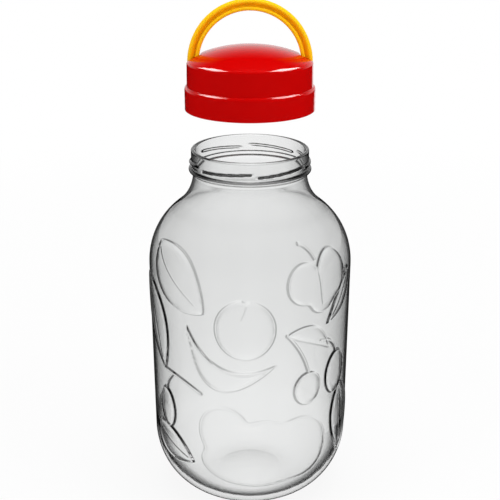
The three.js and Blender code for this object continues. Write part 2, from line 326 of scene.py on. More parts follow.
threadLow = jar["rimHeight"] - jar["threadLowDrop"]
lipHeight = jar["rimHeight"] - jar["lipRound"]
ringHeight = threadLow - jar["ringBelowThread"]
ringFoot = ringHeight - jar["ringHalfHeight"]
ringTop = ringHeight + jar["ringHalfHeight"]
lowerRadius = jar["bodyRadius"] - jar["bodyTaper"]
boreRadius = jar["finishRadius"] - jar["finishWall"]
shoulderHeight = jar["rimHeight"] - jar["shoulderDrop"]


def eased(share):
    return share * share * (3 - 2 * share)


def shoulderCurve(inset, spacing):
    # An outward arc that meets a hollow arc, which runs straight up into the neck
    neckRadius = jar["finishRadius"] - jar["neckRelief"]
    across = neckRadius - jar["bodyRadius"] + jar["shoulderRadius"]
    up = ringFoot - shoulderHeight
    hollow = (across ** 2 + up ** 2 - jar["shoulderRadius"] ** 2) / (2 * (jar["shoulderRadius"] - across))
    turn = math.atan2(up, across + hollow)
    outer, inner = jar["shoulderRadius"] - inset, hollow + inset
    first = arc((jar["bodyRadius"] - jar["shoulderRadius"], shoulderHeight), (outer, outer), 0, turn,
                round(outer * turn / spacing))
    second = arc((neckRadius + hollow, ringFoot), (inner, inner), math.pi + turn, math.pi,
                 round(inner * turn / spacing))
    return first + second[1:]


def pushedUp(lift):
    # The floor's shallow dome inside the foot ring, from the middle outwards
    shares = [k / jar["floorSteps"] for k in range(jar["floorSteps"] + 1)]
    return [(jar["footInner"] * share, lift + jar["pushUp"] * (1 - share ** 2)) for share in shares]


def glassOutside():
    skin, finish, lip = jar["reliefDepth"], jar["finishRadius"], jar["lipRound"]
    wallFoot = (lowerRadius - skin, jar["heelRise"])
    foot = pushedUp(0) + [(jar["footOuter"] - jar["footEase"], 0)]
    heel = arc((jar["footOuter"], jar["heelRise"]), (wallFoot[0] - jar["footOuter"], jar["heelRise"]),
               -math.pi / 2, 0, jar["heelSteps"])
    wall = straight(wallFoot, (jar["bodyRadius"] - skin, shoulderHeight), jar["rowSpacing"])
    # The inset fades up the shoulder, so that the neck keeps its size
    shoulder = []
    for radius, height in shoulderCurve(skin, jar["rowSpacing"]):
        share = min(1, max(0, (height - shoulderHeight) / (ringFoot - shoulderHeight)))
        shoulder.append((radius + skin * eased(share), height))
    ring = arc((finish, ringHeight), (jar["ringProud"], jar["ringHalfHeight"]), -math.pi / 2, math.pi / 2,
               jar["ringSteps"])
    neck = straight((finish, ringTop), (finish, lipHeight), jar["neckSpacing"])
    rim = arc((finish - lip, lipHeight), (lip, lip), 0, math.pi / 2, jar["lipSteps"])
    return foot + heel + wall[1:] + shoulder[1:] + ring[1:] + neck[1:] + rim[1:]


def glassInside():
    # Drawn downwards, from the lip to the middle of the floor
    inset, lip = jar["wall"], jar["lipRound"]
    rim = arc((boreRadius + lip, lipHeight), (lip, lip), math.pi / 2, math.pi, jar["lipSteps"])
    narrowing = jar["finishRadius"] - jar["neckRelief"] - inset - boreRadius
    blendTop = threadLow - jar["threadHalfHeight"] + jar["blendAbove"]
    blend = []
    for k in range(jar["blendSteps"] + 1):
        share = k / jar["blendSteps"]
        blend.append((boreRadius + narrowing * (0.5 - 0.5 * math.cos(math.pi * share)),
                      blendTop - (jar["blendAbove"] + jar["blendBelow"]) * share))
    shoulder = shoulderCurve(inset, jar["innerSpacing"])[::-1]
    wall = straight((jar["bodyRadius"] - inset, shoulderHeight), (lowerRadius - inset, jar["heelRise"]),
                    jar["plainSpacing"])
    heel = arc((jar["footOuter"], jar["heelRise"]),
               (lowerRadius - inset - jar["footOuter"], jar["heelRise"] - jar["base"]),
               0, -math.pi / 2, jar["innerHeelSteps"])
    return rim + blend + shoulder[1:] + wall[1:] + heel[1:] + pushedUp(jar["base"])[::-1]


# Raised ornament. Places are (across, up) in millimetres on the unrolled wall, and across 0 is the front.

ornament = dict(
    height=1.3, side=1.4, softSide=2.2, bead=0.45, beadInset=1.1, beadHalf=1.0, leafRound=0.8, leafSide=0.92,
    stemSteps=8, fillet=5.0, lobeFillet=1.0, fruitClearance=2.6, plateClearance=3.0,
    lowShare=0.8, stemShare=0.7, plateShare=0.45, backShare=0.06,
    creaseHalf=0.35, creaseSide=1.2, creaseDepth=0.35, creaseReach=1.4,
    low=22.0, lowFade=8.0, high=262.0, highFade=10.0, skinDepth=1.2,
    # How near its edges faces are split, in front and at the faint back, in three rounds
    bands=((3.4, 3.4), (1.9, 1.1), (1.15, 0)),
)


def ellipseGap(across, up, middle, radii, lean=0.0):
    # About how far a point is outside an ellipse; negative inside
    x, y = across - middle[0], up - middle[1]
    c, s = math.cos(lean), math.sin(lean)
    x, y = x * c + y * s, y * c - x * s
    near = np.hypot(x / radii[0], y / radii[1])
    slope = np.hypot(x / radii[0] ** 2, y / radii[1] ** 2)
    return near * (near - 1) / np.maximum(slope, 1e-6)


def leafGap(across, up, foot, tip, width, bend=0.0, fullest=0.45):
    # A leaf from foot to tip; bend moves its middle sideways and fullest is where it is widest
    dx, dy = tip[0] - foot[0], tip[1] - foot[1]
    length = math.hypot(dx, dy)
    ux, uy = dx / length, dy / length
    x, y = across - foot[0], up - foot[1]
    along = (x * ux + y * uy) / length
    side = y * ux - x * uy
    t = np.clip(along, 0, 1)
    spine = bend * 4 * t * (1 - t)
    power = math.log(0.5) / math.log(fullest)
    half = width / 2 * np.sin(math.pi * t ** power) ** ornament["leafRound"]
    past = (along - t) * length
    return np.where(past == 0, (np.abs(side - spine) - half) * ornament["leafSide"], np.hypot(side, past))


def stemGap(across, up, start, bow, end, half):
    # A rounded cord along a curve from start, drawn towards bow, to end
    gap = np.inf
    points = rounded(bow, start, end, ornament["stemSteps"])
    for last, point in zip(points, points[1:]):
        dx, dy = point[0] - last[0], point[1] - last[1]
        x, y = across - last[0], up - last[1]
        along = np.clip((x * dx + y * dy) / (dx * dx + dy * dy), 0, 1)
        gap = np.minimum(gap, np.hypot(x - along * dx, y - along * dy) - half)
    return gap


def blended(a, b, reach):
    # Joins two shapes with a hollow fillet
    share = np.clip(0.5 + (b - a) / (2 * reach), 0, 1)
    return b + (a - b) * share - reach * share * (1 - share)


def raised(gap, height, slope, bead=0.0):
    # Height of a flat-topped raised shape, with an even S-shaped side and a rounded bead along its edge
    share = np.clip(0.5 - gap / slope, 0, 1)
    ridge = np.exp(-((gap + ornament["beadInset"]) / ornament["beadHalf"]) ** 2)
    return height * (eased(share) * (1 - bead) + bead * ridge)


def roundFruit(u, v):
    body = ellipseGap(u, v, (-4, 178), (24.5, 25.235))
    notch = ellipseGap(u, v, (-1.55, 207.89), (7.35, 6.37))
    return np.maximum(body, -notch)


def heartFruit(u, v):
    # Two lobes that run down to a blunt tip
    left = ellipseGap(u, v, (46, 211), (16.5, 17), 0.3)
    right = ellipseGap(u, v, (74, 213), (18.5, 21), -0.1)
    tip = ellipseGap(u, v, (63, 197), (14, 13))
    return blended(blended(left, right, ornament["lobeFillet"]), tip, ornament["fillet"])


def ornamentShapes(u, v):
    # One side of the wall, about 250 mm wide; each entry is a gap field, its height and its side
    h, s, soft = ornament["height"], ornament["side"], ornament["softSide"]
    low, stem = h * ornament["lowShare"], h * ornament["stemShare"]
    fruit = roundFruit(u, v)
    shell = leafGap(u, v, (-54, 175), (21, 147), 21, bend=-28, fullest=0.5)
    return [
        (fruit, h, soft),
        (np.maximum(shell, ornament["fruitClearance"] - fruit), h, soft),
        (leafGap(u, v, (-98, 234), (-38, 188), 45, bend=1, fullest=0.52), h, s),
        (leafGap(u, v, (-112, 204), (-82, 128), 33, bend=3), h, s),
        (ellipseGap(u, v, (-81, 93), (11, 18), 0.1), h, s),
        (leafGap(u, v, (-101, 72), (-50, 52), 28, bend=-1), h, s),
        (heartFruit(u, v), h, s),
        (leafGap(u, v, (102, 212), (69, 172), 17, bend=4), h, s),
        (leafGap(u, v, (30, 171), (73, 150), 15, bend=7), low, s),
        (ellipseGap(u, v, (50, 121), (13.5, 14.5)), h, s),
        (ellipseGap(u, v, (83, 125), (14, 19), -0.1), h, s),
        (leafGap(u, v, (92, 112), (95, 44), 36, bend=3), h, s),
        (stemGap(u, v, (45, 241), (53, 239), (57, 229), 1.3), low, s),
        (stemGap(u, v, (30, 171), (44, 156), (50, 136), 1.2), stem, s),
        (stemGap(u, v, (62, 160), (78, 158), (83, 144), 1.2), stem, s),
        (stemGap(u, v, (-82, 128), (-62, 128), (-42, 118), 1.4), stem, s),
        (stemGap(u, v, (-72, 126), (-80, 118), (-81, 111), 1.2), stem, s),
    ]


def plateGap(u, v):
    # Bare cloud-shaped plate near the heel
    lobes = [((-22, 86), (22, 24)), ((12, 80), (26, 19)), ((42, 68), (29, 29)), ((8, 60), (50, 24))]
    gap = ellipseGap(u, v, *lobes[0])
    for middle, radii in lobes[1:]:
        gap = blended(gap, ellipseGap(u, v, middle, radii), ornament["fillet"])
    return gap


def creases(u, v):
    # Fine lines pressed into the leaves and fruit
    lines = [
        ((-92, 229), (-70, 212), (-46, 194)), ((-108, 196), (-94, 164), (-86, 136)),
        ((57, 226), (59, 210), (62, 192)), ((-96, 70), (-78, 62), (-56, 55)),
        ((92, 104), (98, 78), (95, 52)), ((98, 206), (90, 190), (76, 178)),
        ((-40, 158), (-18, 128), (10, 141)), ((-3, 198), (-4, 192), (-7, 186)),
    ]
    gap = np.inf
    for line in lines:
        gap = np.minimum(gap, stemGap(u, v, *line, ornament["creaseHalf"]))
    return gap


def wallField(u, v):
    # Nearest edge and height of the ornament; it is moulded twice round the wall
    half = math.pi * jar["bodyRadius"] / 2
    depth = np.where(np.abs(u) > half, ornament["backShare"], 1.0)
    u = (u + half) % (2 * half) - half
    bead = ornament["bead"]
    plate = plateGap(u, v)
    nearest = np.abs(plate)
    height = raised(plate, ornament["height"] * ornament["plateShare"], ornament["softSide"], bead)
    for gap, tall, side in ornamentShapes(u, v):
        clear = np.maximum(gap, ornament["plateClearance"] - plate)
        height = np.maximum(height, raised(clear, tall, side, bead))
        nearest = np.minimum(nearest, np.abs(clear))
    line = creases(u, v)
    height = np.maximum(height - raised(line, ornament["creaseDepth"], ornament["creaseSide"]), 0)
    return np.minimum(nearest, np.abs(line) * ornament["creaseReach"]), height * depth


def threadHeight(angle, height):
    # Six right-handed runs; angle is measured from +X, and a run climbs as the angle grows
    step = fullTurn / jar["threadRuns"]
    run = step - jar["threadGap"]
    along = (angle - jar["firstGap"] - jar["threadGap"] / 2) % step
    share = along / run
    fade = np.clip(np.minimum(share, 1 - share) / jar["threadFade"], 0, 1)
    middle = threadLow + jar["threadRise"] * share
    lift = (height - middle) / jar["threadHalfHeight"]
    return jar["threadProud"] * np.sqrt(fade * (2 - fade)) * np.sqrt(np.clip(1 - lift * lift, 0, 1))


def unrolled(place):
    # Across and up on the wall, for points on the outside
    across = np.arctan2(place[:, 0], -place[:, 1]) * jar["bodyRadius"]
    return across, place[:, 2]


def refine(bm, band, backBand, isOutside):
    # Splits the faces that lie within a band round the ornament's edges, which is narrower at the faint back
    faces = [f for f in bm.faces if len(f.verts) == 4]
    middles = np.array([f.calc_center_median() for f in faces])
    nearest, _ = wallField(*unrolled(middles))
    chosen = (nearest < np.where(middles[:, 1] < 0, band, backBand)) & isOutside(middles)
    edges = {e for f, yes in zip(faces, chosen) if yes for e in f.edges}
    bmesh.ops.subdivide_edges(bm, edges=list(edges), cuts=1, use_grid_fill=True)


def makeGlass(material):
    outside = glassOutside()
    bm = spun(outside + glassInside()[1:], jar["spinSteps"])
    profile = np.array(sorted([p for p in outside if p[0] > jar["footOuter"]], key=lambda p: p[1]))
    radii, heights = profile[:, 0], profile[:, 1]

    def isOutside(place):
        edge = np.interp(place[:, 2], heights, radii)
        outer = np.hypot(place[:, 0], place[:, 1]) > edge - ornament["skinDepth"]
        return outer & (place[:, 2] > ornament["low"]) & (place[:, 2] < ornament["high"])

    for band, backBand in ornament["bands"]:
        refine(bm, band, backBand, isOutside)
    print("glass triangles:", sum(len(f.verts) - 2 for f in bm.faces))

    verts = bm.verts[:]
    place = np.array([v.co for v in verts])
    angle, up = np.arctan2(place[:, 1], place[:, 0]), place[:, 2]
    _, lift = wallField(*unrolled(place))
    lift = lift * np.clip((up - ornament["low"]) / ornament["lowFade"], 0, 1)
    lift = lift * np.clip((ornament["high"] - up) / ornament["highFade"], 0, 1)
    # The ornament stands square to the wall, whose radius changes this much over a millimetre of height
    slope = np.interp(up + 0.5, heights, radii) - np.interp(up - 0.5, heights, radii)
    lean = np.hypot(1, slope)
    threads = threadHeight(angle, up)
    onWall = isOutside(place)
    onRun = (up > ringTop) & (up < lipHeight) & (threads > 0)
    onRun &= np.hypot(place[:, 0], place[:, 1]) > jar["finishRadius"] - jar["finishWall"] / 2
    reach = np.where(onWall, np.interp(up, heights, radii) + lift / lean, jar["finishRadius"] + threads)
    height = np.where(onWall, up - lift * slope / lean, up)
    for k in np.flatnonzero(onWall | onRun):
        verts[k].co = (reach[k] * math.cos(angle[k]), reach[k] * math.sin(angle[k]), height[k])
    return finished(bm, "glassBody", material)


# Cap

cap = dict(
    seatGap=0.3, skirtClearance=0.35, skirtWall=1.65, skirtAboveRing=0.5, skirtChamfer=0.3, skirtRows=0.9,
    footRound=0.35, sinkDepth=0.07, sinkEvery=5.4, stepAboveSeal=1.9, stepRound=1.6, stepFall=3.4,
    crownWall=1.65, crownDraft=0.3, crownFootRound=0.5, crownFootStep=0.02, crownAboveSeal=21.2,
    crownEdgeRound=2.0, crownRows=3.5, domeRise=12.0, domeSpread=20.0, domeSteps=26,
    innerDomeSteps=16, innerRows=5.0, innerSkirtRows=3.0,
    ribInset=1.1, ribWall=1.6, ribSteps=90, gussets=12, gussetWall=1.4, gussetHeight=5.0, buried=0.8,
    lugTurn=math.radians(4.5), lugClearance=0.8, lugUnderThread=0.4, lugSteps=4, lockTurn=math.radians(36),
    turretWall=1.8, turretClearance=1.1, turretOverrun=4.0, recessWall=1.8, recessOverrun=6.0,
    backingReach=0.4, backingSteps=12, handleClearance=0.4, pinClearance=0.3,
    holeInward=3.0, holeOutward=2.0,
    spinSteps=180, edgeWidth=0.45, finestGap=0.001,
)

grip = dict(
    inset=0.6, band=9.1, thickness=6.4, pivotBelowEdge=1.3, pinRadius=1.8, pinReach=0.9, pinRoot=1.5,
    overrun=1.0, archSteps=96, legSides=64, curveSteps=3,
    # Half of the section: out from the inner edge, and up from the middle plane
    section=((0, 0), (0, 1.5), (0.25, 2.35), (0.8, 3.0), (1.5, 3.2), (2.2, 3.1), (2.8, 2.6), (3.15, 1.9),
             (3.45, 1.4), (3.9, 1.3), (4.5, 1.7), (5.2, 2.4), (6.0, 2.95), (6.8, 3.2), (7.6, 3.05),
             (8.3, 2.6), (8.85, 1.8), (9.1, 0.8)),
)

liner = dict(
    thickness=1.8, edgeRound=0.4, channelInner=5.4, spinSteps=128,
    # The rim's channel: its corners with the points before and after them, in from the edge and up
    channel=(((5.0, 0), (5.2, 0), (4.8, 0.25)), ((4.6, 0.5), (4.8, 0.25), (4.2, 0.5)),
             ((1.6, 0.5), (1.9, 0.5), (1.5, 0.25)), ((1.3, 0), (1.4, 0.1), (1.0, 0))),
)

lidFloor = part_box("cap_shell")[0].z / millimetre
closedSkirt = ringHeight + cap["skirtAboveRing"]
skirtInner = jar["finishRadius"] + jar["ringProud"] + cap["skirtClearance"]
skirtOuter = skirtInner + cap["skirtWall"]
sealHeight = jar["rimHeight"] + cap["seatGap"] - closedSkirt
stepHeight = sealHeight + cap["stepAboveSeal"]
ledgeHeight = stepHeight - cap["skirtWall"]
crownHeight = sealHeight + cap["crownAboveSeal"]
crownInner = jar["finishRadius"] + cap["skirtClearance"]
crownOuter = crownInner + cap["crownWall"]
domeReach = crownOuter + cap["domeSpread"]
domeHalf = cap["domeRise"] / (1 - math.sqrt(1 - (crownOuter / domeReach) ** 2))
domeCentre = crownHeight + cap["domeRise"] - domeHalf
gripOuter = crownOuter - grip["inset"]
gripInner = gripOuter - grip["band"]
pivotHeight = crownHeight - grip["pivotBelowEdge"]
turretRadius = gripInner - cap["turretClearance"]
recessFloor = pivotHeight - grip["thickness"] / 2 - cap["seatGap"]
recessFront = -grip["thickness"] / 2 - cap["handleClearance"]


def placed(bm, name, lift=lidFloor, material=None):
    # Finishes a mesh that was drawn with the cap's foot, or another level, at height 0
    bmesh.ops.translate(bm, vec=(0, 0, lift), verts=bm.verts[:])
    return finished(bm, name, material)


def domeArc(inset, radius, count):
    # From a radius up to the middle, on the dome or this far inside it
    reach, half = domeReach - inset, domeHalf - inset
    return arc((0, domeCentre), (reach, half), math.acos(radius / reach), math.pi / 2, count)


def capOutline():
    skirtFoot, skirtTop = (skirtOuter, cap["footRound"]), (skirtOuter, stepHeight - cap["stepFall"])
    crownFoot = crownOuter + cap["crownDraft"]
    crownStart = (crownFoot - cap["crownFootStep"], stepHeight + cap["crownFootRound"])
    crownTop = (crownOuter, crownHeight - cap["crownEdgeRound"])
    dome = domeArc(0, crownOuter - cap["crownEdgeRound"], cap["domeSteps"])
    points = rounded((skirtOuter, 0), (skirtOuter - cap["footRound"], 0), skirtFoot, 3)
    for radius, height in straight(skirtFoot, skirtTop, cap["skirtRows"])[1:-1]:
        sink = cap["sinkDepth"] * (0.5 - 0.5 * math.cos(fullTurn * height / cap["sinkEvery"]))
        points.append((radius - sink, height))
    points += rounded((skirtOuter, stepHeight), skirtTop, (skirtOuter - cap["stepRound"], stepHeight), 8)
    crownEnd = (crownFoot + cap["crownFootRound"], stepHeight)
    points += rounded((crownFoot, stepHeight), crownEnd, crownStart, 3)
    points += straight(crownStart, crownTop, cap["crownRows"])[1:]
    points += rounded((crownOuter, crownHeight), crownTop, dome[0], 8)[1:]
    return points + dome[1:]


def capHollow():
    # Drawn downwards, from the middle of the ceiling to the foot
    points = domeArc(cap["crownWall"], crownInner, cap["innerDomeSteps"])[::-1]
    points += straight(points[-1], (crownInner, ledgeHeight), cap["innerRows"])[1:]
    chamfer = (skirtInner, ledgeHeight - cap["skirtChamfer"])
    points += [(skirtInner - cap["skirtChamfer"], ledgeHeight), chamfer]
    points += straight(chamfer, (skirtInner, cap["footRound"]), cap["innerSkirtRows"])[1:]
    return points + [(skirtInner + cap["footRound"], 0), (skirtOuter - cap["footRound"], 0)]


def prisms(outlines, low, high):
    # Upright blocks in one mesh, one for each outline
    bm = bmesh.new()
    floors = [bm.faces.new([bm.verts.new((x, y, low)) for x, y in outline]) for outline in outlines]
    made = bmesh.ops.extrude_face_region(bm, geom=floors, use_keep_orig=True)
    tops = [v for v in made["geom"] if isinstance(v, bmesh.types.BMVert)]
    bmesh.ops.translate(bm, vec=(0, 0, high - low), verts=tops)
    bmesh.ops.recalc_face_normals(bm, faces=bm.faces[:])
    return bm


def block(low, high):
    bm = bmesh.new()
    bmesh.ops.create_cube(bm, size=1)
    size = [b - a for a, b in zip(low, high)]
    middle = [(a + b) / 2 for a, b in zip(low, high)]
    bmesh.ops.scale(bm, vec=size, verts=bm.verts[:])
    bmesh.ops.translate(bm, vec=middle, verts=bm.verts[:])
    return bm


def pin(radius, start, end, height, sides=40):
    bm = bmesh.new()
    bmesh.ops.create_cone(bm, cap_ends=True, segments=sides, radius1=radius, radius2=radius,
                          depth=end - start)
    bmesh.ops.rotate(bm, matrix=Matrix.Rotation(math.pi / 2, 3, "Y"), verts=bm.verts[:])
    bmesh.ops.translate(bm, vec=((start + end) / 2, 0, height), verts=bm.verts[:])
    return bm


def trough(radius, floor, front):
    # Space behind a front plane and outside a turret, open upwards
    beyond, top = crownOuter + cap["recessOverrun"], crownHeight + cap["domeRise"] + cap["recessOverrun"]
    low, high = floor - cap["turretOverrun"], top + cap["turretOverrun"]
    space = placed(block((-beyond, front, floor), (beyond, beyond, top)), "trough")
    turret = placed(spun([(0, low), (radius, low), (radius, high), (0, high)], cap["spinSteps"]), "turret")
    return combined(space, turret, "DIFFERENCE")


def makeLugs():
    # They drop through the gaps between the thread runs and lock under them
    lug, step = cap["lugTurn"], fullTurn / jar["threadRuns"]
    inner, outer = jar["finishRadius"] + cap["lugClearance"], skirtInner + cap["skirtWall"] / 2
    share = (cap["lockTurn"] + lug / 2 - jar["threadGap"] / 2) / (step - jar["threadGap"])
    underside = threadLow + jar["threadRise"] * (1 - share) - jar["threadHalfHeight"]
    outlines = []
    for k in range(jar["threadRuns"]):
        start = jar["firstGap"] + step * k - lug / 2
        outlines.append(arc((0, 0), (inner, inner), start, start + lug, cap["lugSteps"])
                        + arc((0, 0), (outer, outer), start + lug, start, cap["lugSteps"]))
    low, high = ringTop + cap["seatGap"] / 2 - closedSkirt, underside - cap["lugUnderThread"] - closedSkirt
    return softened(placed(prisms(outlines, low, high), "lugs"), smallBevel, 2)


def makeLinerRib():
    # A ring under the dome that backs the liner, tied to the crown's wall by short gussets
    outer = crownInner - cap["ribInset"]
    inner = outer - cap["ribWall"]
    foot = sealHeight + liner["thickness"] + cap["seatGap"]
    tops = [domeArc(cap["crownWall"] - cap["buried"], radius, 1)[0] for radius in (outer, inner)]
    ring = placed(spun([(inner, foot), (outer, foot), *tops, (inner, foot)], cap["ribSteps"]), "rib")
    start, end, half = outer - cap["ribWall"] / 2, crownInner + cap["crownWall"] / 2, cap["gussetWall"] / 2
    corners = ((start, -half), (end, -half), (end, half), (start, half))
    webs = []
    for k in range(cap["gussets"]):
        turn = Matrix.Rotation(fullTurn * k / cap["gussets"], 2)
        webs.append([turn @ Vector(corner) for corner in corners])
    ring = combined(ring, placed(prisms(webs, foot, foot + cap["gussetHeight"]), "webs"), "UNION")
    # It stops within the walls of the recess
    half = cap["recessWall"] / 2
    return combined(ring, trough(turretRadius - half, recessFloor - half, recessFront - half), "DIFFERENCE")


def evenShading(piece, material):
    # Smooth shading that follows the broad faces, with sharp corners kept
    piece.data.materials.clear()
    piece.data.materials.append(material)
    piece.data.shade_smooth()
    piece.data.set_sharp_from_angle(angle=crispFrom)
    even = piece.modifiers.new("Even shading", "WEIGHTED_NORMAL")
    even.keep_sharp = True
    even.weight = 100
    return applied(piece)


def makeCap(material):
    shell = placed(spun(capOutline() + capHollow(), cap["spinSteps"]), "capShell")
    floor, edge = recessFloor - cap["recessWall"], crownInner + cap["backingReach"]
    backing = trough(turretRadius - cap["turretWall"], floor, recessFront - cap["recessWall"])
    lump = [(0, floor), (edge, floor)] + domeArc(cap["buried"], edge, cap["backingSteps"])
    backing = combined(backing, placed(spun(lump, cap["spinSteps"]), "lump"), "INTERSECT")
    shell = combined(shell, backing, "UNION")
    shell = combined(shell, trough(turretRadius, recessFloor, recessFront), "DIFFERENCE")
    inner, outer = turretRadius - cap["turretWall"] - cap["holeInward"], turretRadius + cap["holeOutward"]
    for ends in ((-outer, -inner), (inner, outer)):
        hole = pin(grip["pinRadius"] + cap["pinClearance"], *ends, pivotHeight)
        shell = combined(shell, placed(hole, "hole"), "DIFFERENCE")
    shell = softened(shell, cap["edgeWidth"], 3)
    for make in (makeLinerRib, makeLugs):
        shell = combined(shell, make(), "UNION", cap["finestGap"])
    shell.name = "capShell"
    return evenShading(shell, material)


def makeLiner(material):
    radius, low, edge = crownInner - cap["seatGap"], sealHeight, liner["edgeRound"]
    high = low + liner["thickness"]
    points = [(0, low), (radius - liner["channelInner"], low)]
    for corner in liner["channel"]:
        points += rounded(*[(radius - inward, low + up) for inward, up in corner], 3)
    points += rounded((radius, low), (radius - edge, low), (radius, low + edge), 4)
    points += rounded((radius, high), (radius, high - edge), (radius - edge, high), 4)
    return placed(spun(points + [(0, high)], liner["spinSteps"]), "linerDisc", material=material)


def smoothed(points, count):
    # A curve through the points, with count steps between each two
    line = [points[0]]
    for k in range(len(points) - 1):
        near = [points[min(max(j, 0), len(points) - 1)] for j in range(k - 1, k + 3)]
        for step in range(1, count + 1):
            t = step / count
            weights = (-t ** 3 + 2 * t * t - t, 3 * t ** 3 - 5 * t * t + 2,
                       -3 * t ** 3 + 4 * t * t + t, t ** 3 - t * t)
            line.append(tuple(value / 2 for value in weighed(weights, near)))
    return line


def gripOutline():
    # The closed section, as (radius, y)
    half = [(gripInner + x, y) for x, y in smoothed(grip["section"], grip["curveSteps"])]
    return half + [(r, -y) for r, y in half[::-1] if y > samePoint]


def closedSweep(outline, move):
    # Draws the outline in the X and Y plane and moves its edge; both ends are closed
    bm = bmesh.new()
    verts = [bm.verts.new((r, y, 0)) for r, y in outline]
    edges = [bm.edges.new(pair) for pair in zip(verts, verts[1:] + verts[:1])]
    move(bm, verts + edges)
    bmesh.ops.holes_fill(bm, edges=[e for e in bm.edges if e.is_boundary], sides=0)
    bmesh.ops.recalc_face_normals(bm, faces=bm.faces[:])
    return bm


def makeHandle(material):
    half, overrun = grip["thickness"] / 2, grip["overrun"]
    lift = lidFloor + pivotHeight

    def bow(bm, geometry):
        bmesh.ops.spin(bm, geom=geometry, cent=(0, 0, 0), axis=(0, -1, 0), dvec=(0, 0, 0),
                       angle=math.pi, steps=grip["archSteps"], use_merge=False, use_duplicate=False)

    def drop(bm, geometry):
        edges = [e for e in geometry if isinstance(e, bmesh.types.BMEdge)]
        made = bmesh.ops.extrude_edge_only(bm, edges=edges)
        ends = [v for v in made["geom"] if isinstance(v, bmesh.types.BMVert)]
        bmesh.ops.translate(bm, vec=(0, 0, -half - overrun), verts=ends)

    arch = placed(closedSweep(gripOutline(), bow), "handleArch", lift)
    for side in (-1, 1):
        low, high = sorted((side * (gripInner - overrun), side * (gripOuter + overrun)))
        stub = placed(closedSweep([(side * r, y) for r, y in gripOutline()], drop), "legStub", lift)
        legRound = placed(pin(half, low, high, 0, grip["legSides"]), "legRound", lift)
        arch = combined(arch, combined(stub, legRound, "INTERSECT"), "UNION")
    pinEnd = turretRadius - cap["turretWall"] - grip["pinReach"]
    pinRoot = gripInner + grip["pinRoot"]
    for ends in ((pinEnd, pinRoot), (-pinRoot, -pinEnd)):
        pivot = placed(pin(grip["pinRadius"], *ends, 0), "pivot", lift)
        arch = combined(arch, softened(pivot, smallBevel, 2), "UNION")
    arch.name = "carryHandle"
    return evenShading(arch, material)


# Materials. Heights and radii are in metres here, and depths of bumps in millimetres.

glass = dict(
    # Painted shade: how dark the glass is painted by view angle, from head on to edge on, which draws the dark
    # edges of the walls and the relief
    upright=((0.0, 0.99), (0.3, 0.985), (0.6, 0.97), (0.73, 0.92), (0.79, 0.8), (0.85, 0.2), (0.9, 0.0)),
    sloping=((0.0, 0.99), (0.3, 0.98), (0.6, 0.95), (0.76, 0.86), (0.85, 0.5), (0.91, 0.1), (0.96, 0.0)),
    tint=(0.995, 1.0, 0.998), leanFrom=0.12, leanTo=0.6, heelFrom=0.05, heelTo=0.09,
    neckFrom=0.270, neckTo=0.278,
    # Where the thread runs, the heel line and the neck ring's crest get painted shade
    runsFrom=0.2866, runsTo=0.2946, runFoot=0.0475, runCrest=0.0480, runPatches=30.0, patchSpan=-0.0012,
    patchStart=0.0014, flankFrom=-0.15, flankTo=-0.45, darkest=-0.985,
    skimFrom=0.185, skimTo=0.235, skimBelow=0.07, skimOutside=0.042,
    ringFrom=0.2838, ringTo=0.2857, ringShare=0.9,
    waveScale=60.0, waveDetail=1.5, waveStretch=(1, 1, 0.3), bump=0.25, bumpDepth=0.4, ior=1.5,
    # Painted light: how strongly and where the heel glows
    glow=0.45, glowFrom=0.06, glowTo=0.04, glowAfter=3.5, glowFacing=0.255,
)


